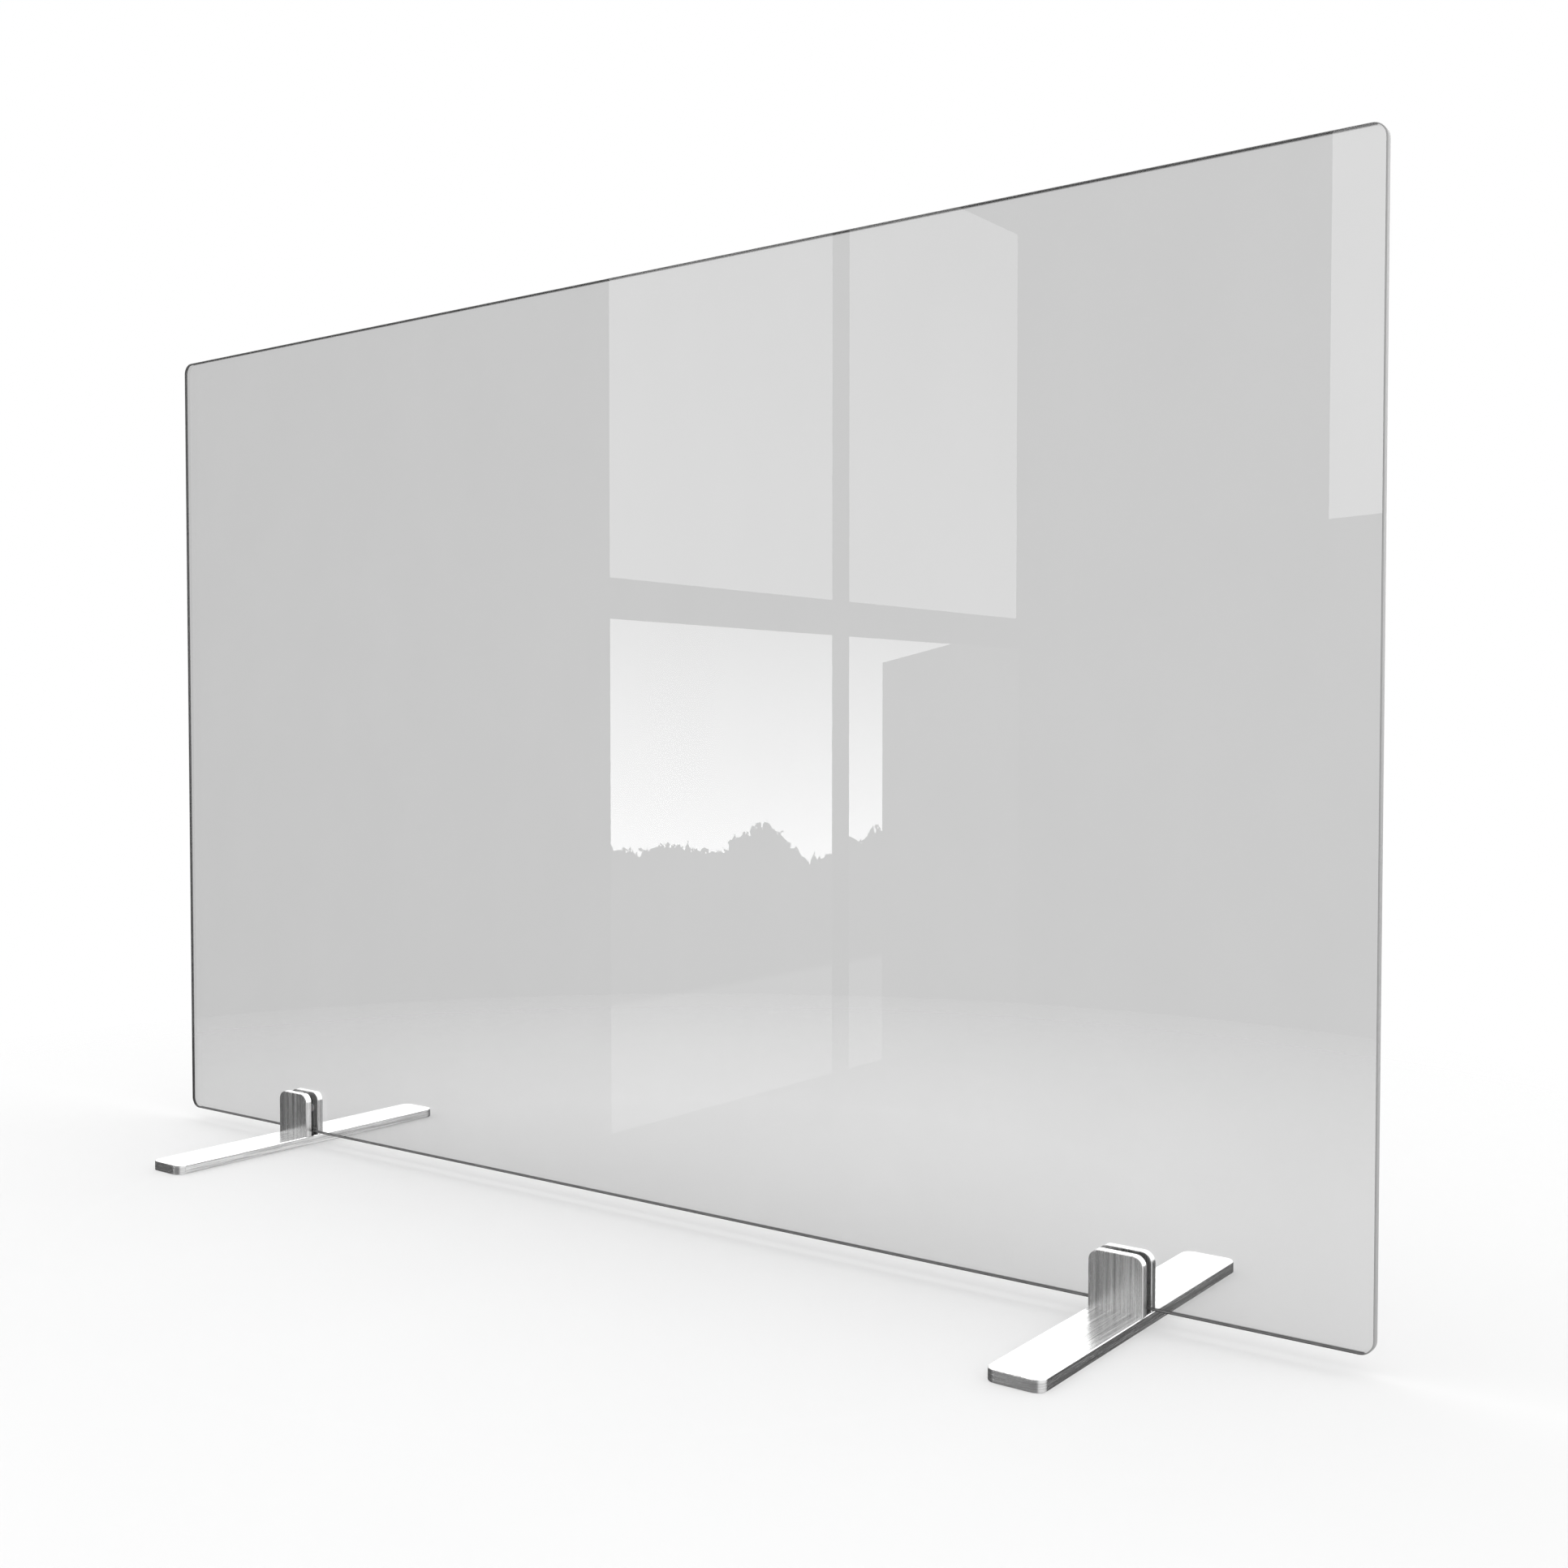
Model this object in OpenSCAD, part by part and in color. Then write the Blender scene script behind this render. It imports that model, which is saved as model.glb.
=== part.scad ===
// Desk privacy panel: a sheet of toughened glass held upright by two clamping feet.
// X runs along the sheet, Y from front to rear, Z up. Millimetres.
// The origin is on the desk surface, under the middle of the sheet.

/* [Glass panel] */
// Length of the glass sheet
panel_w = 1200; // [900:10:1600]
// Height of the glass sheet
panel_h = 750; // [300:10:1000]
// Thickness of the glass sheet
panel_t = 6; // [4:1:8]
// Radius of the sheet's four corners
panel_corner_r = 10; // [4:1:30]
// Width of the ground arris round both faces
panel_arris = 0.7; // [0.3:0.1:1.2]
// Height of the sheet's lower edge above the desk
panel_lift = 12; // [11:0.5:20]

/* [Base bars] */
// Distance from the middle of the sheet to the middle of each foot
foot_x = 430; // [200:5:440]
// Length of each base bar, front to rear
bar_l = 300; // [200:10:400]
// Width of each base bar
bar_w = 40; // [36:1:60]
// Thickness of each base bar
bar_t = 8; // [7:0.5:10]
// Corner radius of each base bar, seen from above
bar_corner_r = 8; // [3:1:15]
// Width of the bevel round the visible edges of bars and plates
edge_bevel = 0.5; // [0.4:0.1:1.2]

/* [Upright plates] */
// Height of the two upright plates above the base bar
plate_h = 40; // [36:0.5:60]
// Thickness of each upright plate
plate_t = 6.5; // [6.5:0.5:9]
// Radius of the plates' upper corners
plate_corner_r = 8; // [3:1:12]
// Free space between each face of the glass and the plate beside it
slot_margin = 0.5; // [0.3:0.1:0.8]

/* [Clamp screws] */
// Distance between the two clamp screws of one foot
clamp_spacing = 22; // [16:1:24]
// Height of the clamp screws above the base bar
clamp_h = 25; // [20:0.5:30]
// Diameter of the clamp screws' thread
clamp_screw_d = 6; // [5:1:6]
// Length of the clamp screws
clamp_screw_l = 5; // [4:0.5:6]
// Width across flats of the clamp screws' hexagon socket
clamp_hex = 3; // [2:0.5:3]
// Diameter of the pressure pads on the clamp screws' tips
pad_d = 7.2; // [6.4:0.1:8]
// Thickness of the pressure pads
pad_t = 1.2; // [1:0.1:1.5]
// How far a pressure pad draws back in one turn of its screw
pad_travel = 1; // [0.5:0.1:1]

/* [Soft parts] */
// Length of the setting block under the glass
block_l = 30; // [16:1:34]
// Width of the clear liner on the front plate
liner_w = 34; // [20:1:36]
// Height of the clear liner on the front plate
liner_h = 26; // [15:1:30]
// Diameter of the nonslip pads under the base bars
grip_d = 22; // [12:1:26]
// Thickness of the nonslip pads
grip_t = 1.5; // [1:0.1:2]
// How far the nonslip pads stand out below the base bars
grip_proud = 0.3; // [0.2:0.1:0.6]

/* [Hidden] */
$fn = 64;

// Which foot, and which of its two clamp screws
left = -1;
right = 1;
outer = 1;
inner = -1;

// Clearances
eps = 0.1;                // overshoot of a cutting solid
face_gap = 0.05;          // between the glass and the faces it slides along
thread_gap = 0.05;        // radial, between a clamp screw and its hole
pocket_gap = 0.3;         // radial, between a pressure pad and its pocket
seat_gap = 0.1;           // radial, round pieces that are glued or screwed in

// Heights
bar_z = grip_proud;
bar_top = bar_z + bar_t;
clamp_z = bar_top + clamp_h;
deburr = 0.2;             // bevel round the underside of the base bars

// The slot between the plates
slot_w = panel_t + 2 * slot_margin;
plate_y = slot_w / 2 + plate_t / 2;
pad_face_y = panel_t / 2 + face_gap;
pocket_depth = face_gap + pad_t + pad_travel - slot_margin + face_gap;

// The pin that snaps a pressure pad into the tip of its screw
stem_r = 0.9;
stem_l = 0.9;
stem_socket_l = 1;
clamp_socket_l = 2.5;
screw_end_bevel = 0.4;

// Countersunk screws, M3, from under the bar into the plates
m3_r = 1.5;
m3_clearance_r = 1.7;
m3_head_r = 3;
m3_head_h = 1.6;
m3_l = 14;
m3_hex = 2;
m3_hex_depth = 1.1;
m3_sunk = 0.1;            // the heads lie this far inside the bar
m3_hole_l = 8;            // depth of the tapped holes in the plates

// Soft parts
liner_corner_r = 2;
liner_gap_z = 5;          // liner's lower edge above the glass's lower edge
block_w = slot_w - 0.4;
block_corner_r = 1;
grip_places = [-128, -52, 52, 128];  // along the bar, as set out for its usual length
grip_scale = bar_l / 300;

// Radius of the circle through a hexagon's corners, from its width across flats
function hex_r(across_flats) = across_flats / 2 / cos(30);

// A slab lying on the XY plane, w by l by t, with round corners, and a bevel of
// its own round the lower and the upper face.
module bevelled_slab(w, l, t, r, lower, upper) {
    // half of the cross-section of a slab that is 2 * s wide
    function section(s) = [
        [0, 0], [s - lower, 0], [s, lower], [s, t - upper], [s - upper, t], [0, t]
    ];
    function mirrored(p) = [for (i = [len(p) - 1:-1:0]) [-p[i][0], p[i][1]]];
    union() {
        rotate([90, 0, 0])
            translate([0, 0, -(l / 2 - r)])
            linear_extrude(l - 2 * r)
            polygon(concat(section(w / 2), mirrored(section(w / 2))));
        rotate([90, 0, 90])
            translate([0, 0, -(w / 2 - r)])
            linear_extrude(w - 2 * r)
            polygon(concat(section(l / 2), mirrored(section(l / 2))));
        for (x = [-1, 1], y = [-1, 1])
            translate([x * (w / 2 - r), y * (l / 2 - r), 0])
            rotate_extrude()
            polygon(section(r));
    }
}

// A box lying on the XY plane with round vertical edges
module rounded_box(w, l, h, r) {
    union() {
        translate([-w / 2 + r, -l / 2, 0]) cube([w - 2 * r, l, h]);
        translate([-w / 2, -l / 2 + r, 0]) cube([w, l - 2 * r, h]);
        for (x = [-1, 1], y = [-1, 1])
            translate([x * (w / 2 - r), y * (l / 2 - r), 0])
            cylinder(r = r, h = h);
    }
}

// Places children at the four screws that hold one foot's plates
module at_plate_screws(side) {
    for (x = [-1, 1], y = [-1, 1])
        translate([side * foot_x + x * clamp_spacing / 2, y * plate_y, bar_z])
        children();
}

// Places children on the axis of one clamp screw, with their +Z to the rear
module at_clamp(side, which, y) {
    translate([side * (foot_x + which * clamp_spacing / 2), y, clamp_z])
        rotate([-90, 0, 0])
        children();
}

// The glass sheet, standing on its lower edge
module glass_panel() {
    color([0.72, 0.74, 0.75, 0.4])
        translate([0, panel_t / 2, panel_lift + panel_h / 2])
        rotate([90, 0, 0])
        bevelled_slab(panel_w, panel_h, panel_t, panel_corner_r, panel_arris, panel_arris);
}

// The bar that stands on the desk, drilled for its screws and recessed for its pads
module base_bar(side) {
    color([0.74, 0.74, 0.75])
        difference() {
            translate([side * foot_x, 0, bar_z])
                bevelled_slab(bar_w, bar_l, bar_t, bar_corner_r, deburr, edge_bevel);
            at_plate_screws(side) {
                translate([0, 0, -eps])
                    cylinder(r = m3_clearance_r, h = bar_t + 2 * eps);
                translate([0, 0, -eps])
                    cylinder(r1 = m3_head_r + m3_sunk + 2 * eps, r2 = m3_clearance_r, h = m3_head_h + eps);
            }
            for (y = grip_places)
                translate([side * foot_x, y * grip_scale, bar_z - eps])
                cylinder(d = grip_d + 2 * seat_gap, h = grip_t - grip_proud + eps);
        }
}

// An upright plate, bevelled round its sides and top, square where it meets the bar
module upright_plate(side, y) {
    intersection() {
        translate([side * foot_x, y + plate_t / 2, bar_top])
            rotate([90, 0, 0])
            bevelled_slab(bar_w, 2 * plate_h, plate_t, plate_corner_r, edge_bevel, edge_bevel);
        translate([side * foot_x - bar_w / 2, y - plate_t / 2, bar_top])
            cube([bar_w, plate_t, plate_h]);
    }
}

// The tapped holes in the foot of both plates
module plate_screw_holes(side) {
    at_plate_screws(side)
        translate([0, 0, bar_t - eps])
        cylinder(r = m3_r + thread_gap, h = m3_hole_l + eps);
}

// The plate in front of the glass
module front_plate(side) {
    color([0.74, 0.74, 0.75])
        difference() {
            upright_plate(side, -plate_y);
            plate_screw_holes(side);
        }
}

// The plate behind the glass, tapped for the clamp screws
module rear_plate(side) {
    color([0.74, 0.74, 0.75])
        difference() {
            upright_plate(side, plate_y);
            plate_screw_holes(side);
            for (which = [outer, inner]) {
                at_clamp(side, which, slot_w / 2 - eps)
                    cylinder(r = clamp_screw_d / 2 + thread_gap, h = plate_t + 2 * eps);
                at_clamp(side, which, slot_w / 2 - eps)
                    cylinder(r = pad_d / 2 + pocket_gap, h = pocket_depth + eps);
            }
        }
}

// Four countersunk screws that hold the plates to the bar
module plate_screws(side) {
    color([0.45, 0.45, 0.47])
        at_plate_screws(side)
        translate([0, 0, m3_sunk])
        difference() {
            rotate_extrude()
                polygon([
                    [0, 0], [m3_head_r, 0], [m3_r, m3_head_r - m3_r],
                    [m3_r, m3_l - m3_r / 3], [m3_r * 2 / 3, m3_l], [0, m3_l]
                ]);
            translate([0, 0, -eps])
                cylinder(r = hex_r(m3_hex), h = m3_hex_depth + eps, $fn = 6);
        }
}

// The clear film on the front plate that the glass is pressed against
module slot_liner(side) {
    color([0.85, 0.87, 0.88])
        translate([side * foot_x, -panel_t / 2 - face_gap, panel_lift + liner_gap_z + liner_h / 2])
        rotate([90, 0, 0])
        rounded_box(liner_w, liner_h, slot_margin - face_gap, liner_corner_r);
}

// The soft block that carries the lower edge of the glass
module setting_block(side) {
    color([0.55, 0.56, 0.57])
        translate([side * foot_x, 0, bar_top])
        rounded_box(block_l, block_w, panel_lift - bar_top - face_gap, block_corner_r);
}

// Four round pads under the bar, which stand on the desk
module nonslip_pads(side) {
    color([0.12, 0.12, 0.12])
        for (y = grip_places)
            translate([side * foot_x, y * grip_scale, 0])
            cylinder(d = grip_d, h = grip_t);
}

// A soft-faced disc with a pin that snaps into the tip of its clamp screw
module pressure_pad(side, which) {
    color([0.9, 0.9, 0.88])
        at_clamp(side, which, pad_face_y)
        union() {
            cylinder(d = pad_d, h = pad_t);
            cylinder(r = stem_r, h = pad_t + stem_l);
        }
}

// A grub screw with a hexagon socket, worked from behind the panel
module clamp_screw(side, which) {
    r = clamp_screw_d / 2;
    color([0.5, 0.5, 0.52])
        at_clamp(side, which, pad_face_y + pad_t)
        difference() {
            rotate_extrude()
                polygon([
                    [0, 0], [r - screw_end_bevel, 0], [r, screw_end_bevel],
                    [r, clamp_screw_l - screw_end_bevel], [r - screw_end_bevel, clamp_screw_l],
                    [0, clamp_screw_l]
                ]);
            translate([0, 0, -eps])
                cylinder(r = stem_r + thread_gap, h = stem_socket_l + eps);
            translate([0, 0, clamp_screw_l - clamp_socket_l])
                cylinder(r = hex_r(clamp_hex), h = clamp_socket_l + eps, $fn = 6);
        }
}

glass_panel();

base_bar(left);  // left_base_bar
front_plate(left);  // left_front_plate
rear_plate(left);  // left_rear_plate
plate_screws(left);  // left_plate_screws
slot_liner(left);  // left_slot_liner
setting_block(left);  // left_setting_block
nonslip_pads(left);  // left_nonslip_pads
pressure_pad(left, outer);  // left_outer_pressure_pad
pressure_pad(left, inner);  // left_inner_pressure_pad
clamp_screw(left, outer);  // left_outer_clamp_screw
clamp_screw(left, inner);  // left_inner_clamp_screw

base_bar(right);  // right_base_bar
front_plate(right);  // right_front_plate
rear_plate(right);  // right_rear_plate
plate_screws(right);  // right_plate_screws
slot_liner(right);  // right_slot_liner
setting_block(right);  // right_setting_block
nonslip_pads(right);  // right_nonslip_pads
pressure_pad(right, outer);  // right_outer_pressure_pad
pressure_pad(right, inner);  // right_inner_pressure_pad
clamp_screw(right, outer);  // right_outer_clamp_screw
clamp_screw(right, inner);  // right_inner_clamp_screw
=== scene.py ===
"""Desk privacy panel: a sheet of toughened glass held upright by two brushed steel feet."""

import math

import bmesh
import bpy
from mathutils import Matrix, Vector


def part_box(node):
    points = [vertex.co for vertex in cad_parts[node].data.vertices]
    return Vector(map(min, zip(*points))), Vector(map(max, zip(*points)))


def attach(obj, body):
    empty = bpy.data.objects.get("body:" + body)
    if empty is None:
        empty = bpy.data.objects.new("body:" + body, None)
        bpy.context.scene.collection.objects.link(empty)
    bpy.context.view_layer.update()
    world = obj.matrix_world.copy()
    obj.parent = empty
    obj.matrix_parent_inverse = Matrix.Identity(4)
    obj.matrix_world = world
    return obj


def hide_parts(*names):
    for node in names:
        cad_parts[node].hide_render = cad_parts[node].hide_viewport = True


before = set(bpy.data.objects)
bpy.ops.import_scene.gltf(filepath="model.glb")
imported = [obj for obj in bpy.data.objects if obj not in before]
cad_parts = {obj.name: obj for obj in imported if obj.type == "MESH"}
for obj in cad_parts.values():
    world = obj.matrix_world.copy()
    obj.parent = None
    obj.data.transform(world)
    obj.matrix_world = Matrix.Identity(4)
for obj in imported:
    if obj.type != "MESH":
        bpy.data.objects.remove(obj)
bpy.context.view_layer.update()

MM = 0.001
SIDES = ("left", "right")
PLACES = ("outer", "inner")

# Shape details that the frame's boxes don't give
GLASS_CORNER_R = 10 * MM
GLASS_ARRIS = 0.7 * MM
BAR_CORNER_R = 8 * MM
PLATE_CORNER_R = 8 * MM
EDGE_BEVEL = 0.5 * MM
BAR_DEBURR = 0.2 * MM
SCREW_SPACING = 22 * MM
CLAMP_HOLE_R = 3.05 * MM
POCKET_GAP = 0.3 * MM
POCKET_DEPTH = 1.8 * MM
CLAMP_HEX = 3 * MM
CLAMP_HEX_DEPTH = 2.5 * MM
CLAMP_PITCH = 1 * MM
CLAMP_END = 0.4 * MM
PIN_R = 0.9 * MM
PIN_SOCKET_R = 0.95 * MM
PIN_SOCKET_DEPTH = 1 * MM
M3_R = 1.5 * MM
M3_HOLE_R = 1.55 * MM
M3_CLEARANCE_R = 1.7 * MM
M3_HEAD_R = 3 * MM
M3_PITCH = 0.5 * MM
M3_HEX = 2 * MM
M3_HEX_DEPTH = 1.1 * MM
M3_END = 0.4 * MM
PLATE_HOLE_DEPTH = 8 * MM
GRIP_RECESS_GAP = 0.1 * MM
LINER_CORNER_R = 2 * MM
LINER_BEVEL = 0.08 * MM
BLOCK_CORNER_R = 1 * MM
BLOCK_BEVEL = 0.35 * MM
OVERSHOOT = 0.1 * MM

# The inner nonslip pads of a foot lie at this share of the way out to the others
INNER_GRIP_SHARE = 52 / 128

CORNER_STEPS = 16
SHARP_ANGLE = math.radians(32)
MERGE_DISTANCE = 1e-7

# A face belongs to the flat of a bar (axis 2) or a plate (axis 1) if its normal is this near the axis
FLAT_FACING = {2: 0.5, 1: 0.8}

# A face lies in a round corner or on the rim if it is this share of the corner radius out
RIM_SHARE = 0.8

# A face looks along an axis if its normal is this near it
ALONG_AXIS = 0.9


# ---------------------------------------------------------------- mesh helpers

def arc(cx, cy, r, start, end, steps):
    """Points along an arc, with its angles in degrees"""
    angles = [math.radians(start + (end - start) * i / steps) for i in range(steps + 1)]
    return [(cx + r * math.cos(a), cy + r * math.sin(a)) for a in angles]


def round_rect(low, high, r, steps=CORNER_STEPS):
    """A function that gives the outline of a rectangle with round corners, moved inwards"""
    def outline(inset):
        (x0, y0), (x1, y1) = low, high
        c = r - inset
        return (
            arc(x1 - r, y0 + r, c, -90, 0, steps)
            + arc(x1 - r, y1 - r, c, 0, 90, steps)
            + arc(x0 + r, y1 - r, c, 90, 180, steps)
            + arc(x0 + r, y0 + r, c, 180, 270, steps)
        )
    return outline


def round_top(low, high, r, steps=CORNER_STEPS):
    """The same for a plate that is square at its foot: the foot stays where it is"""
    def outline(inset):
        (x0, y0), (x1, y1) = low, high
        c = r - inset
        return (
            [(x1 - inset, y0)]
            + arc(x1 - r, y1 - r, c, 0, 90, steps)
            + arc(x0 + r, y1 - r, c, 90, 180, steps)
            + [(x0 + inset, y0)]
        )
    return outline


def bevel(width, height, up=True):
    """(inset, height) pairs across a 45 degree bevel with softened edges, from the side to the face.
    The face is at height, and the bevel rises to it, or falls to it if up is False."""
    soft = 0.25 * width
    diagonal = 0.707 * soft
    knee_in, knee_down = 0.046, 0.02
    side = [
        (0, width + soft),
        (knee_in * width, width + knee_down * width),
        (diagonal, width - diagonal),
    ]
    rise = side + [(h, i) for i, h in reversed(side)]
    sign = -1 if up else 1
    return [(inset, height + sign * below) for inset, below in rise]


def both_bevels(width, depth):
    """The profile of a slab that is bevelled round both faces, from height 0 to depth"""
    return list(reversed(bevel(width, 0, up=False))) + bevel(width, depth)


def skin(rings):
    """A closed bmesh through rings of points, with flat ends"""
    bm = bmesh.new()
    loops = [[bm.verts.new(p) for p in ring] for ring in rings]
    for a, b in zip(loops, loops[1:]):
        for i in range(len(a)):
            j = (i + 1) % len(a)
            bm.faces.new((a[i], a[j], b[j], b[i]))
    bm.faces.new(list(reversed(loops[0])))
    bm.faces.new(loops[-1])
    bmesh.ops.recalc_face_normals(bm, faces=bm.faces)
    return bm


def slab(outline, profile, place):
    """A slab with that outline and edge profile. place turns (u, v, height) into a point."""
    return skin([[place(u, v, h) for u, v in outline(inset)] for inset, h in profile])


def flat(z):
    """Places a slab that lies on the XY plane at height z"""
    return lambda u, v, h: Vector((u, v, z + h))


def upright(y):
    """Places a slab that stands parallel to the glass, with its heights to the rear of y"""
    return lambda u, v, h: Vector((u, y + h, v))


def lathe(profile, steps):
    """A round bmesh on the Z axis from (radius, height) pairs"""
    return skin([[Vector((x, y, h)) for x, y in arc(0, 0, r, 0, 360 - 360 / steps, steps - 1)]
                 for r, h in profile])


def prism(across_flats, low, high):
    """A hexagon on the Z axis, for cutting sockets"""
    r = across_flats / 2 / math.cos(math.radians(30))
    return lathe([(r, low), (r, high)], 6)


def thread(radius, pitch, low, high, end_bevel, steps, rows):
    """A threaded rod on the Z axis, right-handed, with bevelled ends. It has so many steps round it
    and so many rows of points for each pitch."""
    depth = 0.55 * pitch
    groove_top, flank_width = 1.35, 1.25
    count = round((high - low) / pitch * rows)
    rings = []
    for row in range(count + 1):
        z = low + (high - low) * row / count
        limit = radius - end_bevel + min(z - low, high - z)
        ring = []
        for step in range(steps):
            turn = step / steps
            phase = (z / pitch - turn) % 1
            groove = min(1, max(0, groove_top - 4 * abs(phase - 0.5) / flank_width))
            r = min(radius - depth * groove, limit)
            angle = turn * math.tau
            ring.append(Vector((r * math.cos(angle), r * math.sin(angle), z)))
        rings.append(ring)
    return skin(rings)


def moved(bm, matrix):
    bmesh.ops.transform(bm, matrix=matrix, verts=bm.verts)
    return bm


def at(x, y, z):
    return Matrix.Translation((x, y, z))


def to_rear(x, y, z):
    """Turns +Z to +Y, the way the clamp screws point, and moves to a place"""
    return at(x, y, z) @ Matrix.Rotation(math.radians(-90), 4, "X")


def joined(parts):
    """One bmesh that holds several"""
    whole = bmesh.new()
    for bm in parts:
        mesh = bpy.data.meshes.new("part")
        bm.to_mesh(mesh)
        bm.free()
        whole.from_mesh(mesh)
        bpy.data.meshes.remove(mesh)
    return whole


def to_object(name, bm):
    mesh = bpy.data.meshes.new(name)
    bm.to_mesh(mesh)
    bm.free()
    obj = bpy.data.objects.new(name, mesh)
    bpy.context.scene.collection.objects.link(obj)
    return obj


def carved(obj, cutters):
    """Cuts the shapes in cutters out of obj"""
    tool = to_object("cutter", joined(cutters))
    cut = obj.modifiers.new("cut", "BOOLEAN")
    cut.operation = "DIFFERENCE"
    cut.solver = "EXACT"
    cut.object = tool
    shaped = bpy.data.meshes.new_from_object(
        obj.evaluated_get(bpy.context.evaluated_depsgraph_get())
    )
    obj.modifiers.remove(cut)
    blank, obj.data = obj.data, shaped
    bpy.data.meshes.remove(blank)
    bpy.data.objects.remove(tool)
    return obj


def shade(obj):
    """Smooth shading that keeps real edges sharp and flat faces flat"""
    bm = bmesh.new()
    bm.from_mesh(obj.data)
    bmesh.ops.remove_doubles(bm, verts=bm.verts, dist=MERGE_DISTANCE)
    for face in bm.faces:
        face.smooth = True
    for edge in bm.edges:
        edge.smooth = len(edge.link_faces) == 2 and edge.calc_face_angle(0) < SHARP_ANGLE
    bm.to_mesh(obj.data)
    bm.free()
    weighted = obj.modifiers.new("normals", "WEIGHTED_NORMAL")
    weighted.keep_sharp = True
    weighted.weight = 100
    return obj


def rim_distance(point, low, high, r, quarter):
    """How far along the rim of a rectangle with round corners a point is. The way starts at the foot
    of the right side and goes anticlockwise, and a quarter is one side with the corner after it."""
    (x0, y0), (x1, y1) = (low[0] + r, low[1] + r), (high[0] - r, high[1] - r)
    cx, cy = inner_point(point, low, high, r)
    w, h = x1 - x0, y1 - y0
    straight = (cy - y0, h + x1 - cx, h + w + y1 - cy, 2 * h + w + cx - x0)[quarter]
    middle = math.radians(45 + 90 * quarter)
    turn = math.atan2(point[1] - cy, point[0] - cx)
    return straight + r * (middle + (turn - middle + math.pi) % math.tau - math.pi)


def inner_point(point, low, high, r):
    """The nearest point of a rectangle that lies r inside the rectangle from low to high"""
    return [min(max(p, a + r), b - r) for p, a, b in zip(point, low, high)]


def comb(obj, flat_axis, grain, low, high, r):
    """Writes the UV map that brushed metal reads, in metres: V runs along the grain and U across it.
    The two faces across flat_axis have straight grain, and it runs round the rim."""
    mesh = obj.data
    layer = mesh.uv_layers.new(name="grain")
    plane = [axis for axis in range(3) if axis != flat_axis]
    facing = FLAT_FACING[flat_axis]
    for poly in mesh.polygons:
        points = [(loop, mesh.vertices[mesh.loops[loop].vertex_index].co) for loop in poly.loop_indices]
        middle = [poly.center[axis] for axis in plane]
        inner = inner_point(middle, low, high, r)
        out = [m - i for m, i in zip(middle, inner)]
        if abs(poly.normal[flat_axis]) < facing and math.hypot(*out) > RIM_SHARE * r:
            quarter = int(math.degrees(math.atan2(out[1], out[0])) % 360 // 90)
            for loop, point in points:
                round_rim = rim_distance([point[axis] for axis in plane], low, high, r, quarter)
                layer.data[loop].uv = (point[flat_axis], round_rim)
            continue
        along = grain if abs(poly.normal.dot(grain)) < ALONG_AXIS else Vector((1, 0, 0))
        along = (along - poly.normal * along.dot(poly.normal)).normalized()
        across = poly.normal.cross(along)
        for loop, point in points:
            layer.data[loop].uv = (point.dot(across), point.dot(along))
    return obj


def finished(obj, material, body, node):
    """What every piece gets: materials and body, and the CAD node it stands for is hidden"""
    for m in material if isinstance(material, list) else [material]:
        obj.data.materials.append(m)
    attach(obj, body)
    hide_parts(node)
    return obj


# ------------------------------------------------------------------- materials

class Nodes:
    """A material or world being put together, node by node"""

    def __init__(self, tree):
        self.tree = tree
        self.tree.nodes.clear()

    def add(self, kind, inputs=None, **settings):
        node = self.tree.nodes.new("ShaderNode" + kind)
        for key, value in settings.items():
            setattr(node, key, value)
        for key, value in (inputs or {}).items():
            self.put(value, node.inputs[key])
        return node

    def put(self, value, socket):
        """Sets a socket to a number or a colour, or links it to another node's output"""
        if isinstance(value, bpy.types.NodeSocket):
            self.tree.links.new(value, socket)
        elif isinstance(value, bpy.types.Node):
            self.tree.links.new(value.outputs[0], socket)
        else:
            socket.default_value = value

    def math(self, operation, a, b=0.0, clamp=False):
        node = self.add("Math", operation=operation, use_clamp=clamp)
        self.put(a, node.inputs[0])
        self.put(b, node.inputs[1])
        return node

    def spread(self, value, low, high, to_low, to_high, smooth=False):
        """Maps value from one range to another"""
        node = self.add("MapRange", clamp=True)
        node.interpolation_type = "SMOOTHSTEP" if smooth else "LINEAR"
        for i, v in enumerate((value, low, high, to_low, to_high)):
            self.put(v, node.inputs[i])
        return node.outputs[0]

    def noise(self, vector, scale, detail=3.0, roughness=0.55):
        """Noise on a vector, stretched by a scale of its own for each axis"""
        place = self.add("Mapping", {"Vector": vector, "Scale": scale})
        node = self.add("TexNoise", {"Vector": place, "Scale": 1.0, "Detail": detail,
                                     "Roughness": roughness})
        return node.outputs[0]

    def grey(self, value):
        """A neutral colour from a number"""
        return self.add("CombineColor", {0: value, 1: value, 2: value}).outputs[0]

    def bump(self, height, strength, distance):
        return self.add("Bump", {"Height": height, "Strength": strength,
                                 "Distance": distance}).outputs[0]


def new_material(name):
    material = bpy.data.materials.new(name)
    material.use_nodes = True
    return material, Nodes(material.node_tree)


def output(nodes, shader):
    nodes.add("OutputMaterial", {"Surface": shader})


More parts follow.
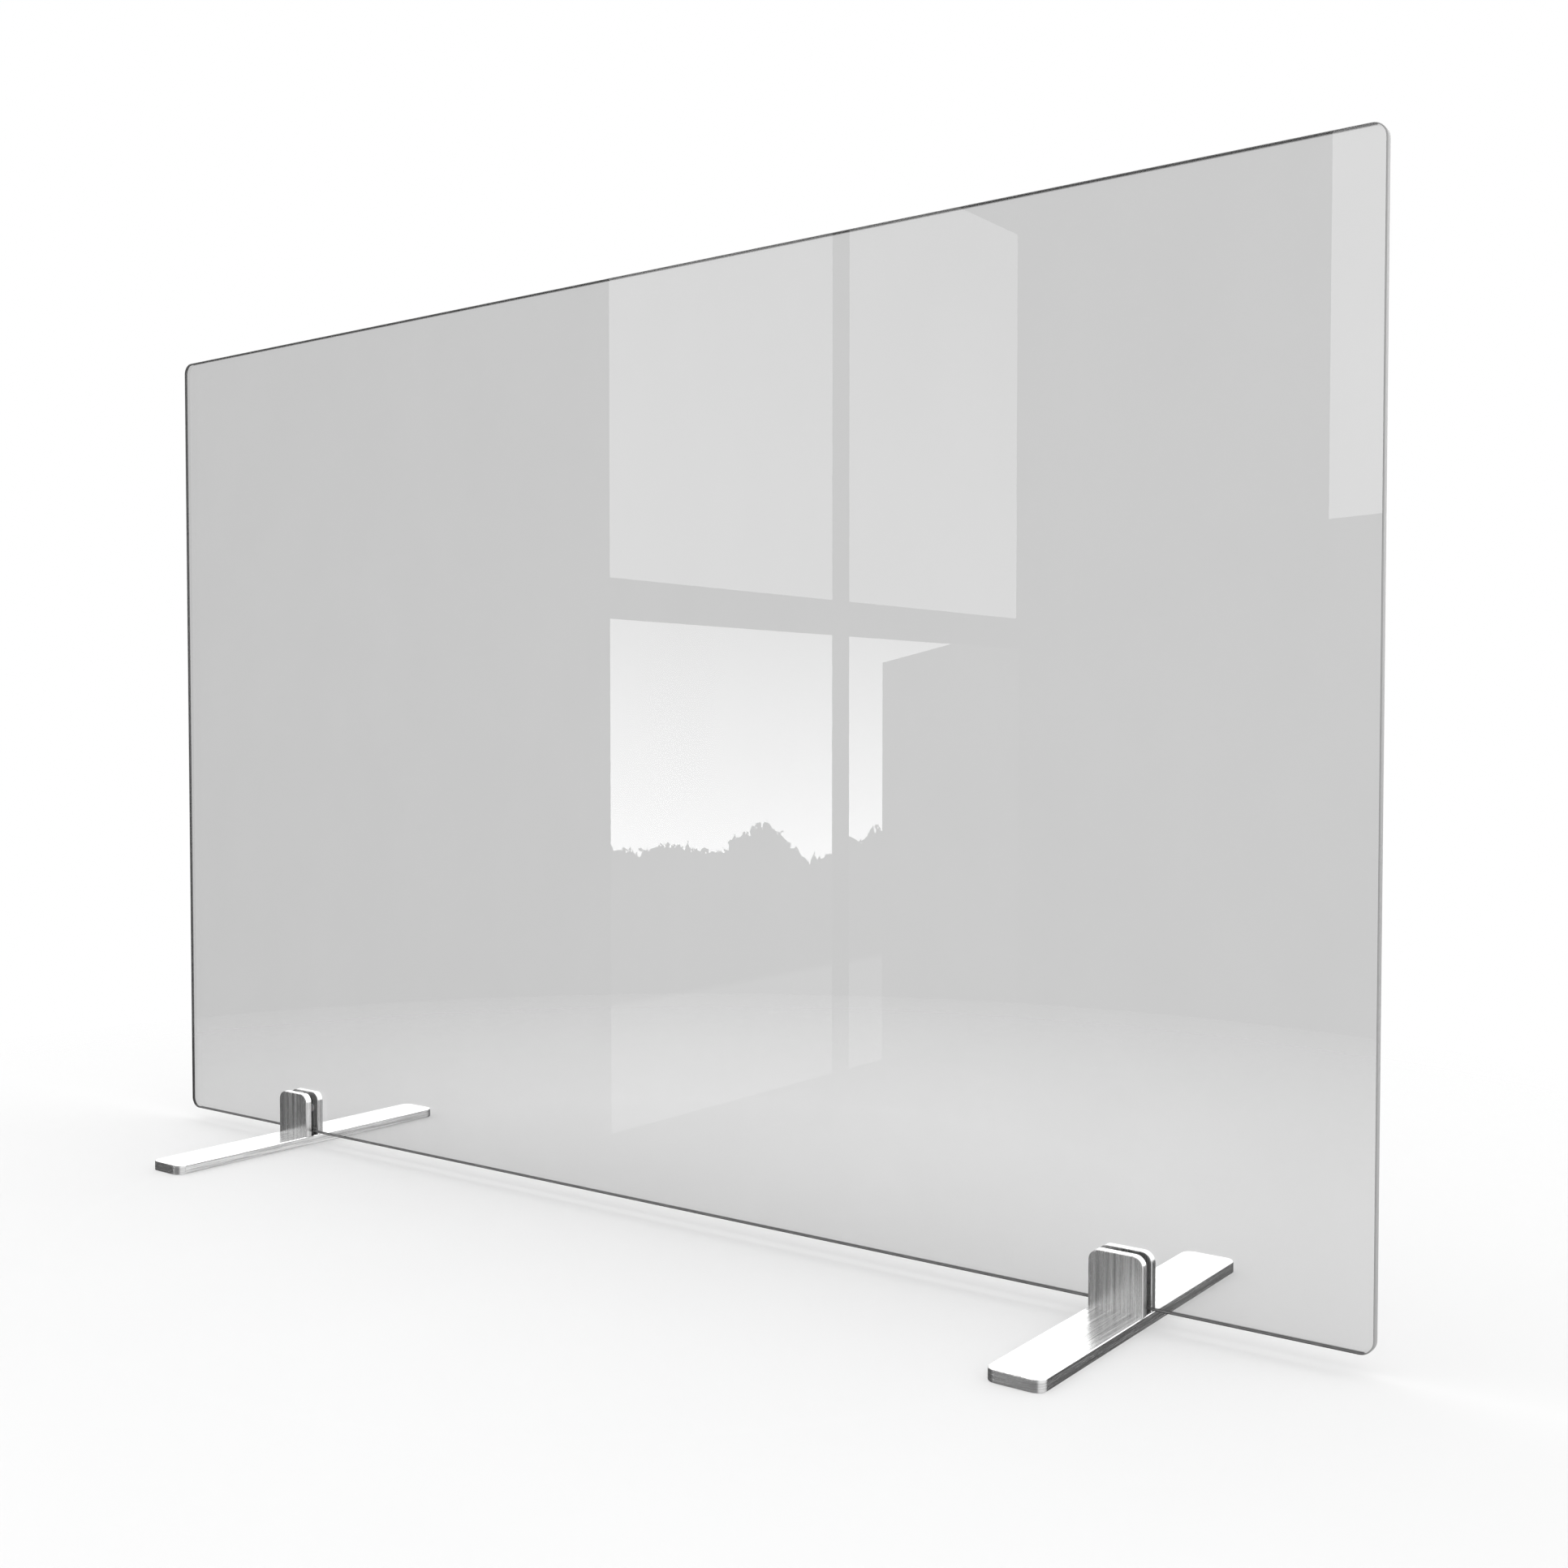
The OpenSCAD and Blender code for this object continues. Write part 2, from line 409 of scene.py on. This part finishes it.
def tinted_glass():
    """Grey float glass with faint roller waves from toughening and the haze of a wiped surface.
    It is thin-walled: its coat mirrors as glass does, and what is seen through it isn't shifted.
    What a mirror sees through it isn't tinted, or the slots of the feet would look black."""
    material, n = new_material("tinted_glass")
    place = n.add("TexCoord").outputs["Object"]
    haze = n.noise(place, (14, 14, 9), detail=5.0, roughness=0.6)
    waves = n.noise(place, (1.1, 1.1, 5.5), detail=1.0)
    roller_waves = n.bump(waves, 0.12, 0.0004)
    mirrored = n.math("GREATER_THAN", n.add("LightPath").outputs["Glossy Depth"], 0.5)
    tint = n.add("Mix", {0: mirrored, 2: n.spread(haze, 0.3, 0.7, 0.775, 0.79), 3: 0.98},
                 data_type="FLOAT").outputs[0]
    shader = n.add("BsdfPrincipled", {
        "Base Color": n.grey(tint),
        "Roughness": n.spread(haze, 0.5, 0.8, 0.0, 0.012),
        "IOR": 1.01,
        "Transmission Weight": 1.0,
        "Coat Weight": 1.0,
        "Coat Roughness": 0.0,
        "Coat IOR": 1.5,
        "Coat Normal": roller_waves,
        "Normal": roller_waves,
    })
    output(n, shader)
    return material


def glass_edge():
    """The ground and polished edge of the sheet. From outside it is grey, and darker along the top
    and the bottom. From inside, through the sheet, its front part is painted dark, as shade in place of
    light turned back inside the glass, and its rear part is nearly clear. The lower edge is the
    darkest, with painted shade towards the floor."""
    material, n = new_material("glass_edge")
    place = n.add("TexCoord").outputs["Object"]
    depth, height = n.add("SeparateXYZ", {0: place}).outputs[1:3]
    # painted shade: the edge grows darker below 100 mm, towards the floor, down to half at 50 mm
    painted_foot_shade = 0.5
    level = n.spread(height, 50 * MM, 100 * MM, painted_foot_shade, 1.0)
    geometry = n.add("NewGeometry").outputs
    inside = geometry["Backfacing"]
    upright_edge = n.math("ABSOLUTE", n.add("SeparateXYZ", {0: geometry["True Normal"]}).outputs[0])
    turning = (0.1, 0.5)
    arris = n.spread(upright_edge, *turning, n.math("MULTIPLY", level, 0.11), 0.34)
    flat_part = n.spread(upright_edge, *turning, n.math("MULTIPLY", level, 0.22), 0.44)
    # how deep from the front the painted shade inside the edge reaches
    painted_shade_to = n.spread(upright_edge, *turning, 2.4 * MM, 0.2 * MM)
    clear_from = n.math("ADD", painted_shade_to, 0.7 * MM)
    arris_to, flat_from = -2.6 * MM, -1.8 * MM
    lines = n.noise(place, (60, 4500, 60), detail=2.0)
    clouds = n.noise(place, (220, 220, 220), detail=3.0)
    polish = n.add("Mix", {0: 0.4, 2: lines, 3: clouds}, data_type="FLOAT").outputs[0]
    outer = n.math("MULTIPLY", n.spread(depth, arris_to, flat_from, arris, flat_part),
                   n.spread(polish, 0.3, 0.7, 0.93, 1.07))
    # painted shade: seen from inside, the edge is dark in place of light turned back within the glass
    inner = n.math("MULTIPLY", n.spread(polish, 0.3, 0.7, 0.1, 0.13), level)
    body = n.add("Mix", {0: inside, 2: outer, 3: inner}, data_type="FLOAT").outputs[0]
    clear = n.math("MULTIPLY", inside, n.spread(depth, painted_shade_to, clear_from, 0.0, 0.75))
    shader = n.add("BsdfPrincipled", {
        "Base Color": n.grey(body),
        "Roughness": n.spread(clouds, 0.3, 0.7, 0.4, 0.55),
        "IOR": 1.5,
        "Specular IOR Level": 0.2,
        "Alpha": n.math("SUBTRACT", 1.0, clear),
        "Normal": n.bump(lines, 0.15, 0.00002),
    })
    output(n, shader)
    return material


def brushed_steel(name, low, high, rough_low, rough_high, anisotropy):
    """Stainless steel brushed along the grain map: wide, coarse and fine streaks and a few deeper
    scratches"""
    material, n = new_material(name)
    grain = n.add("UVMap", uv_map="grain").outputs[0]
    wide = n.noise(grain, (330, 7, 1), detail=1.0)
    coarse = n.noise(grain, (900, 14, 1), detail=2.0)
    fine = n.noise(grain, (4200, 40, 1), detail=3.0, roughness=0.65)
    deep = n.noise(grain, (2600, 9, 1), detail=1.0)
    scratches = n.spread(deep, 0.66, 0.74, 0.0, 1.0)
    bands = n.math("ADD", n.math("MULTIPLY", wide, 0.3), n.math("MULTIPLY", coarse, 0.3))
    streaks = n.math("ADD", bands, n.math("MULTIPLY", fine, 0.4))
    tone = n.math("SUBTRACT", n.spread(streaks, 0.38, 0.62, low, high),
                  n.math("MULTIPLY", scratches, 0.06))
    relief = n.math("SUBTRACT", streaks, n.math("MULTIPLY", scratches, 0.5))
    tangent = n.add("Tangent", direction_type="UV_MAP", uv_map="grain").outputs[0]
    shader = n.add("BsdfPrincipled", {
        "Base Color": n.grey(tone),
        "Metallic": 1.0,
        "Roughness": n.spread(streaks, 0.35, 0.65, rough_low, rough_high),
        "Anisotropic": anisotropy,
        "Tangent": tangent,
        "Normal": n.bump(relief, 0.35, 0.00003),
    })
    output(n, shader)
    return material


def screw_steel():
    """Plain stainless steel of the small screws, with turning marks and handling wear"""
    material, n = new_material("screw_steel")
    place = n.add("TexCoord").outputs["Object"]
    marks = n.noise(place, (3000, 3000, 3000), detail=3.0)
    wear = n.noise(place, (500, 500, 500), detail=4.0)
    shader = n.add("BsdfPrincipled", {
        "Base Color": n.grey(n.spread(wear, 0.3, 0.7, 0.36, 0.5)),
        "Metallic": 1.0,
        "Roughness": n.spread(wear, 0.3, 0.7, 0.24, 0.4),
        "Normal": n.bump(marks, 0.2, 0.00002),
    })
    output(n, shader)
    return material


def rubber(name, low, high):
    """Moulded rubber: a fine grained skin with pale dust in its hollows"""
    material, n = new_material(name)
    place = n.add("TexCoord").outputs["Object"]
    skin_noise = n.noise(place, (1800, 1800, 1800), detail=4.0, roughness=0.6)
    dust = n.noise(place, (160, 160, 160), detail=3.0)
    shader = n.add("BsdfPrincipled", {
        "Base Color": n.grey(n.spread(dust, 0.35, 0.7, low, high)),
        "Roughness": n.spread(skin_noise, 0.3, 0.7, 0.62, 0.85),
        "Normal": n.bump(skin_noise, 0.5, 0.00006),
    })
    output(n, shader)
    return material


def pressure_nylon():
    """Natural white nylon, slightly translucent, with the marks of its mould"""
    material, n = new_material("pressure_nylon")
    place = n.add("TexCoord").outputs["Object"]
    mould = n.noise(place, (1200, 1200, 1200), detail=3.0)
    cast = n.noise(place, (260, 260, 260), detail=2.0)
    shader = n.add("BsdfPrincipled", {
        "Base Color": n.grey(n.spread(cast, 0.3, 0.7, 0.9, 0.95)),
        "Roughness": n.spread(mould, 0.3, 0.7, 0.38, 0.52),
        "Subsurface Weight": 0.15,
        "Subsurface Scale": 0.0008,
        "Normal": n.bump(mould, 0.25, 0.00004),
    })
    output(n, shader)
    return material


def clear_liner():
    """Clear film with a light orange-peel surface"""
    material, n = new_material("clear_liner")
    place = n.add("TexCoord").outputs["Object"]
    peel = n.noise(place, (700, 700, 700), detail=2.0)
    shader = n.add("BsdfPrincipled", {
        "Base Color": n.grey(n.spread(peel, 0.3, 0.7, 0.88, 0.94)),
        "Roughness": n.spread(peel, 0.3, 0.7, 0.05, 0.12),
        "IOR": 1.49,
        "Transmission Weight": 0.9,
        "Normal": n.bump(peel, 0.3, 0.00003),
    })
    output(n, shader)
    return material


# -------------------------------------------------------------------- sub-parts

def make_glass():
    low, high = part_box("glass_panel")
    outline = round_rect((low.x, low.z), (high.x, high.z), GLASS_CORNER_R, steps=24)
    bm = slab(outline, both_bevels(GLASS_ARRIS, high.y - low.y), upright(low.y))
    face_slot, edge_slot = 0, 1
    face_only = 0.99
    for face in bm.faces:
        face.material_index = face_slot if abs(face.normal.y) > face_only else edge_slot
    sheet = shade(to_object("glass_sheet", bm))
    finished(sheet, [tinted_glass(), glass_edge()], "panel", "glass_panel")


def screw_places(side):
    """Where the screws that hold a foot's plates stand, on the XY plane"""
    bar_low, bar_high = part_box(side + "_base_bar")
    middle = (bar_low.x + bar_high.x) / 2
    ys = [sum(c.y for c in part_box(side + plate)) / 2 for plate in ("_front_plate", "_rear_plate")]
    return [(middle + sign * SCREW_SPACING / 2, y) for sign in (-1, 1) for y in ys]


def grip_places(side):
    """The middles of a foot's nonslip pads: those at both ends come from the frame"""
    low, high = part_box(side + "_nonslip_pads")
    r = (high.x - low.x) / 2
    end = high.y - r
    inner = end * INNER_GRIP_SHARE
    return (low.x + high.x) / 2, (-end, -inner, inner, end), r


def make_bar(side, material):
    """A foot's base bar, with countersunk holes and the round recesses of the nonslip pads below"""
    low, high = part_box(side + "_base_bar")
    thickness = high.z - low.z
    outline = round_rect((low.x, low.y), (high.x, high.y), BAR_CORNER_R)
    profile = [(BAR_DEBURR, 0), (0, BAR_DEBURR)] + bevel(EDGE_BEVEL, thickness)
    bar = to_object(side + "_bar", slab(outline, profile, flat(low.z)))
    cone_r = M3_HEAD_R + GRIP_RECESS_GAP
    countersink = [
        (cone_r + OVERSHOOT, -OVERSHOOT), (cone_r, 0),
        (M3_CLEARANCE_R, cone_r - M3_CLEARANCE_R), (M3_CLEARANCE_R, thickness + OVERSHOOT),
    ]
    cutters = [moved(lathe(countersink, 48), at(x, y, low.z)) for x, y in screw_places(side)]
    middle, ys, r = grip_places(side)
    recess_r = r + GRIP_RECESS_GAP
    recess = [(recess_r, -OVERSHOOT), (recess_r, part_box(side + "_nonslip_pads")[1].z - low.z)]
    cutters += [moved(lathe(recess, 96), at(middle, y, low.z)) for y in ys]
    along_bar = Vector((0, 1, 0))
    comb(shade(carved(bar, cutters)), 2, along_bar, (low.x, low.y), (high.x, high.y), BAR_CORNER_R)
    finished(bar, material, side + "_foot", side + "_base_bar")


def comb_plate(plate, low, high):
    """Upright grain. The foot is square, so the outline's lower corners lie below it."""
    foot = low.z - 2 * PLATE_CORNER_R
    comb(plate, 1, Vector((0, 0, 1)), (low.x, foot), (high.x, high.z), PLATE_CORNER_R)


def plate_blank(side, which):
    """A plate without its holes, and what cuts the two screw holes in its foot"""
    low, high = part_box(f"{side}_{which}_plate")
    outline = round_top((low.x, low.z), (high.x, high.z), PLATE_CORNER_R)
    bm = slab(outline, both_bevels(EDGE_BEVEL, high.y - low.y), upright(low.y))
    middle_y = (low.y + high.y) / 2
    hole = [(M3_HOLE_R, -OVERSHOOT), (M3_HOLE_R, PLATE_HOLE_DEPTH)]
    holes = [moved(lathe(hole, 32), at(x, middle_y, low.z))
             for x in {x for x, _ in screw_places(side)}]
    return to_object(f"{side}_{which}_upright", bm), holes


def make_plates(side, material):
    """A foot's two upright plates. The rear one also has the bores of the clamp screws."""
    front, holes = plate_blank(side, "front")
    comb_plate(shade(carved(front, holes)), *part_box(side + "_front_plate"))
    finished(front, material, side + "_foot", side + "_front_plate")

    rear, holes = plate_blank(side, "rear")
    low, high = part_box(side + "_rear_plate")
    thickness = high.y - low.y
    mouth = 0.35 * MM
    pad_low, pad_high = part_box(side + "_outer_pressure_pad")
    pocket_r = (pad_high.x - pad_low.x) / 2 + POCKET_GAP
    bore = [
        (pocket_r, -OVERSHOOT), (pocket_r, POCKET_DEPTH), (CLAMP_HOLE_R, POCKET_DEPTH),
        (CLAMP_HOLE_R, thickness - mouth), (CLAMP_HOLE_R + mouth + OVERSHOOT, thickness + OVERSHOOT),
    ]
    for place in PLACES:
        x, z = clamp_axis(side, place)
        holes.append(moved(lathe(bore, 64), to_rear(x, low.y, z)))
    comb_plate(shade(carved(rear, holes)), low, high)
    finished(rear, material, side + "_foot", side + "_rear_plate")


def clamp_axis(side, place):
    """The X and Z of a clamp screw's axis"""
    low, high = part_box(f"{side}_{place}_clamp_screw")
    return (low.x + high.x) / 2, (low.z + high.z) / 2


def make_clamp(side, place, steel, nylon):
    """A clamp screw and the pressure pad on its tip"""
    x, z = clamp_axis(side, place)
    low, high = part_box(f"{side}_{place}_clamp_screw")
    length = high.y - low.y
    radius = (high.x - low.x) / 2
    screw = to_object(f"{side}_{place}_grub_screw",
                      thread(radius, CLAMP_PITCH, 0, length, CLAMP_END, steps=64, rows=12))
    hexagon_r = CLAMP_HEX / 2 / math.cos(math.radians(30))
    lead_in = 0.3 * MM
    lead_in_cone = [(hexagon_r - lead_in, length - lead_in),
                    (hexagon_r + OVERSHOOT, length + OVERSHOOT)]
    pin_socket = [(PIN_SOCKET_R, -OVERSHOOT), (PIN_SOCKET_R, PIN_SOCKET_DEPTH)]
    carved(screw, [prism(CLAMP_HEX, length - CLAMP_HEX_DEPTH, length + OVERSHOOT)])
    carved(screw, [lathe(lead_in_cone, 48)])
    carved(screw, [lathe(pin_socket, 32)])
    screw.data.transform(to_rear(x, low.y, z))
    shade(screw)
    finished(screw, steel, f"{side}_{place}_screw", f"{side}_{place}_clamp_screw")

    low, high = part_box(f"{side}_{place}_pressure_pad")
    radius = (high.x - low.x) / 2
    height = high.y - low.y
    disc_t = 1.2 * MM
    rim = 0.3 * MM
    middle_r = 0.4 * MM
    groove_r = 2.1 * MM
    groove = 0.12 * MM
    fillet = 0.15 * MM
    tip = 0.2 * MM
    profile = (
        [(middle_r, 0), (groove_r - groove, 0), (groove_r, groove), (groove_r + groove, 0)]
        + arc(radius - rim, rim, rim, -90, 0, 6)
        + arc(radius - rim, disc_t - rim, rim, 0, 90, 6)
        + [(PIN_R + fillet, disc_t), (PIN_R, disc_t + fillet),
           (PIN_R, height - tip), (PIN_R - tip, height)]
    )
    pad = to_object(f"{side}_{place}_pad", moved(lathe(profile, 64), to_rear(x, low.y, z)))
    finished(shade(pad), nylon, f"{side}_{place}_pad", f"{side}_{place}_pressure_pad")


def make_plate_screws(side, steel):
    """Four countersunk screws, driven from under the bar into the plates"""
    low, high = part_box(side + "_plate_screws")
    length = high.z - low.z
    head_h = M3_HEAD_R - M3_R
    head_bevel, head_rim = 0.15 * MM, 0.12 * MM
    neck_r = M3_R - 0.12 * MM
    neck_low, neck_high = head_h + 0.1 * MM, head_h + 1.2 * MM
    thread_low = head_h + 0.6 * MM
    head = [(M3_HEAD_R - head_bevel, 0), (M3_HEAD_R, head_rim), (neck_r, neck_low), (neck_r, neck_high)]
    screws = []
    for x, y in screw_places(side):
        body = to_object("screw", lathe(head, 40))
        carved(body, [prism(M3_HEX, -OVERSHOOT, M3_HEX_DEPTH)])
        bm = bmesh.new()
        bm.from_mesh(body.data)
        bpy.data.objects.remove(body)
        shank = thread(M3_R, M3_PITCH, thread_low, length, M3_END, steps=20, rows=6)
        screws.append(moved(joined([bm, shank]), at(x, y, low.z)))
    piece = shade(to_object(side + "_countersunk_screws", joined(screws)))
    finished(piece, steel, side + "_foot", side + "_plate_screws")


def make_soft_parts(side, liner_film, block_rubber, pad_rubber):
    """The film between glass and plate, the fluted block under the glass and the nonslip pads"""
    low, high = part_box(side + "_slot_liner")
    outline = round_rect((low.x, low.z), (high.x, high.z), LINER_CORNER_R)
    film = slab(outline, both_bevels(LINER_BEVEL, high.y - low.y), upright(low.y))
    piece = shade(to_object(side + "_liner", film))
    finished(piece, liner_film, side + "_foot", side + "_slot_liner")

    low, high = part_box(side + "_setting_block")
    outline = round_rect((low.x, low.y), (high.x, high.y), BLOCK_CORNER_R, steps=8)
    bm = slab(outline, both_bevels(BLOCK_BEVEL, high.z - low.z), flat(low.z))
    block = to_object(side + "_block", bm)
    flute_r, flute_spacing, flute_reach = 0.7 * MM, 1.7 * MM, 25 * MM
    flute_z = high.z + 0.25 * MM
    middle = (low.x + high.x) / 2
    to_x = Matrix.Rotation(math.radians(90), 4, "Y")
    flutes = []
    for y in (-flute_spacing, 0, flute_spacing):
        rod = lathe([(flute_r, -flute_reach), (flute_r, flute_reach)], 24)
        flutes.append(moved(rod, at(middle, y, flute_z) @ to_x))
    shade(carved(block, flutes))
    finished(block, block_rubber, side + "_foot", side + "_setting_block")

    low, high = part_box(side + "_nonslip_pads")
    thickness = high.z - low.z
    middle, ys, r = grip_places(side)
    rim, top_rim = 0.35 * MM, 0.1 * MM
    groove = 0.3 * MM
    dimple_r, dimple_depth = 1 * MM, 0.15 * MM
    profile = [(dimple_r, dimple_depth)]
    for groove_r in (3 * MM, 5.5 * MM, 8 * MM):
        profile += [(groove_r - 2 * groove, 0), (groove_r - groove, groove),
                    (groove_r + groove, groove), (groove_r + 2 * groove, 0)]
    profile += arc(r - rim, rim, rim, -90, 0, 6)
    profile += arc(r - top_rim, thickness - top_rim, top_rim, 0, 90, 3)
    pads = [moved(lathe(profile, 72), at(middle, y, low.z)) for y in ys]
    piece = shade(to_object(side + "_grip_pads", joined(pads)))
    finished(piece, pad_rubber, side + "_foot", side + "_nonslip_pads")


def make_feet():
    bar_steel = brushed_steel("bar_steel", 0.4, 0.9, 0.19, 0.31, 0.75)
    plate_steel = brushed_steel("plate_steel", 0.44, 0.95, 0.2, 0.32, 0.65)
    small_steel = screw_steel()
    nylon = pressure_nylon()
    liner_film = clear_liner()
    block_rubber = rubber("setting_rubber", 0.2, 0.3)
    pad_rubber = rubber("pad_rubber", 0.018, 0.04)
    for side in SIDES:
        make_bar(side, bar_steel)
        make_plates(side, plate_steel)
        make_plate_screws(side, small_steel)
        make_soft_parts(side, liner_film, block_rubber, pad_rubber)
        for place in PLACES:
            make_clamp(side, place, small_steel, nylon)


# ------------------------------------------------------------------------ stage

def make_floor():
    """A round, pale floor that fades into the background. What mirrors doesn't see it."""
    radius = 1.19
    last_angle, steps = 358.6, 255
    bm = bmesh.new()
    bm.faces.new([bm.verts.new((x, y, 0)) for x, y in arc(0, 0, radius, 0, last_angle, steps)])
    floor = to_object("floor", bm)
    material, n = new_material("floor")
    place = n.add("TexCoord").outputs["Object"]
    mottle = n.noise(place, (3, 3, 3), detail=2.0)
    matt = n.add("BsdfPrincipled", {
        "Base Color": n.grey(n.spread(mottle, 0.3, 0.7, 0.94, 0.95)),
        "Roughness": 0.9,
        "Specular IOR Level": 0.0,
    })
    from_middle = n.add("VectorMath", {0: place}, operation="LENGTH").outputs["Value"]
    fade_from, rim_opacity = 0.45, 0.12
    opacity = n.spread(from_middle, fade_from, radius, 1.0, rim_opacity)
    mirrored = n.math("GREATER_THAN", n.add("LightPath").outputs["Glossy Depth"], 0.5)
    solid = n.math("MULTIPLY", opacity, n.math("SUBTRACT", 1.0, mirrored))
    output(n, n.add("MixShader", {0: solid, 1: n.add("BsdfTransparent"), 2: matt}))
    floor.data.materials.append(material)


def make_card(name, corners, strength_low, strength_high, horizon=None):
    """A bright card that only the first mirror sees. Its light goes from one strength at its foot to
    another at its top. Below a horizon, with an uneven line of trees, it is dim."""
    bm = bmesh.new()
    bm.faces.new([bm.verts.new(c) for c in corners])
    card = to_object(name, bm)
    zs = [c[2] for c in corners]
    material, n = new_material(name)
    place = n.add("TexCoord").outputs["Object"]
    height = n.add("SeparateXYZ", {0: place}).outputs[2]
    strength = n.spread(height, min(zs), max(zs), strength_low, strength_high)
    if horizon is not None:
        ground_top = -0.32
        along = n.add("VectorMath", {0: place, 1: (0, 1, 0)}, operation="MULTIPLY").outputs[0]
        crowns = n.noise(along, (1, 2.3, 1), detail=2.0)
        leaves = n.noise(place, (1, 30, 30), detail=4.0, roughness=0.7)
        line = n.math("ADD", n.spread(crowns, 0.35, 0.7, horizon - 0.04, horizon + 0.1),
                      n.spread(leaves, 0.3, 0.7, -0.022, 0.022))
        sky = n.math("GREATER_THAN", height, line)
        below = n.spread(height, ground_top - 0.01, ground_top + 0.01, 1.0, 0.45)
        strength = n.add("Mix", {0: sky, 2: below, 3: strength}, data_type="FLOAT").outputs[0]
    first = n.math("LESS_THAN", n.add("LightPath").outputs["Glossy Depth"], 1.5)
    glow = n.math("MULTIPLY", strength, first)
    output(n, n.add("Emission", {"Color": (1, 1, 1, 1), "Strength": glow}))
    material.cycles.emission_sampling = "NONE"
    card.data.materials.append(material)
    card.visible_camera = False
    card.visible_diffuse = False
    card.visible_transmission = False
    card.visible_shadow = False


def make_window():
    """A window of four panes in a wall to the left of the panel, with a plain block of a building
    outside it, and a tall card in front of the panel. The glass mirrors them."""
    wall_x = -2.09
    near, mullion_near, mullion_far, far = -2.28, -3.27, -3.36, -4.4
    foot, transom_low, transom_high, head = -0.65, 0.675, 0.78, 2.12
    for name, y0, y1 in (("near", near, mullion_near), ("far", mullion_far, far)):
        for row, z0, z1, low, high, horizon in (
            ("lower", foot, transom_low, 12.5, 4.4, 0.05),
            ("upper", transom_high, head, 2.8, 2.1, None),
        ):
            corners = [(wall_x, y0, z0), (wall_x, y1, z0), (wall_x, y1, z1), (wall_x, y0, z1)]
            make_card(f"pane_{row}_{name}", corners, low, high, horizon)
    block_x = wall_x + 0.01
    block_near, roof_far, eaves = -3.53, -3.95, 0.6
    block = [
        (block_x, block_near, foot), (block_x, far, foot), (block_x, far, transom_low),
        (block_x, roof_far, transom_low), (block_x, block_near, eaves),
    ]
    make_card("block", block, 0.35, 0.5)
    strip_foot = [(-0.10, -1.90, 0.753), (0.17, -2.09, 0.79)]
    strip_head = 2.4
    strip = strip_foot + [(x, y, strip_head) for x, y, _ in reversed(strip_foot)]
    make_card("strip", strip, 3.0, 2.8)


def make_world():
    """A white background for the camera, even light for what is matt, and for what mirrors a room
    with a bright rear, a dark lower half and a ceiling that is bright towards the rear. After two
    mirrors the room is evener: its dark parts are brighter, and its bright parts have a limit.
    Light that comes through the glass is stronger, so the floor behind it isn't too dark."""
    world = bpy.data.worlds.new("studio")
    bpy.context.scene.world = world
    world.use_nodes = True
    world.cycles.sampling_method = "NONE"
    n = Nodes(world.node_tree)
    ray = n.add("LightPath").outputs
    toward = n.add("TexCoord").outputs["Generated"]
    x, y, z = n.add("SeparateXYZ", {0: toward}).outputs

    ceiling = n.math("MULTIPLY", n.spread(z, 0.45, 0.9, 0.0, 2.6, smooth=True),
                     n.spread(y, -0.4, 0.1, 0.12, 1.0, smooth=True))
    rear_part = n.spread(y, 0.1, 0.6, 0.0, 2.2, smooth=True)
    above = n.spread(z, -0.03, 0.06, 0.0, 1.0, smooth=True)
    rear = n.math("MULTIPLY", rear_part, above)
    right = n.spread(x, 0.5, 0.85, 0.0, 0.74, smooth=True)
    front = n.math("MULTIPLY", n.spread(x, -0.8, -0.4, 0.15, 0.3, smooth=True),
                   n.spread(y, 0.2, 0.6, 1.0, 0.4, smooth=True))
    twice_mirrored = n.math("GREATER_THAN", ray["Glossy Depth"], 1.5)
    twice_added, no_limit, twice_limit = 0.8, 10.0, 1.4
    added = n.math("MULTIPLY", twice_mirrored, twice_added)
    sides = n.math("ADD", n.math("ADD", right, front), added)
    limit = n.spread(twice_mirrored, 0.0, 1.0, no_limit, twice_limit)
    room = n.math("MINIMUM", n.math("ADD", n.math("ADD", ceiling, rear), sides), limit)

    behind_glass = 0.8
    matt_light = 1.04
    through_glass = 1.4
    mirrored = n.math("GREATER_THAN", ray["Glossy Depth"], 0.5)
    matt = n.math("GREATER_THAN", ray["Diffuse Depth"], 0.5)
    passed = n.math("MULTIPLY", ray["Is Transmission Ray"], matt_light * (through_glass - 1))
    light = n.math("ADD", passed, matt_light)
    seen = n.add("Mix", {0: mirrored, 2: behind_glass, 3: room}, data_type="FLOAT")
    level = n.add("Mix", {0: matt, 2: seen.outputs[0], 3: light}, data_type="FLOAT")
    final = n.add("Mix", {0: ray["Is Camera Ray"], 2: level.outputs[0], 3: 1.0}, data_type="FLOAT")
    background = n.add("Background", {"Color": n.grey(final.outputs[0]), "Strength": 1.0})
    n.add("OutputWorld", {"Surface": background})


def make_camera():
    """The main view: from in front of the panel's right end, at about half its height"""
    data = bpy.data.cameras.new("camera")
    data.lens = 40.29
    data.sensor_width = 36
    camera = bpy.data.objects.new("camera", data)
    camera.location = (0.94188, -1.07129, 0.39812)
    downward, to_left = math.radians(1.854), math.radians(36.538)
    camera.rotation_euler = (math.radians(90) - downward, 0, to_left)
    bpy.context.scene.collection.objects.link(camera)
    bpy.context.scene.camera = camera


scene = bpy.context.scene
scene.view_settings.view_transform = "Standard"
scene.cycles.transparent_max_bounces = 16
scene.cycles.transmission_bounces = 16
scene.cycles.max_bounces = 24
scene.cycles.glossy_bounces = 8
make_camera()
make_glass()
make_feet()
make_floor()
make_window()
make_world()
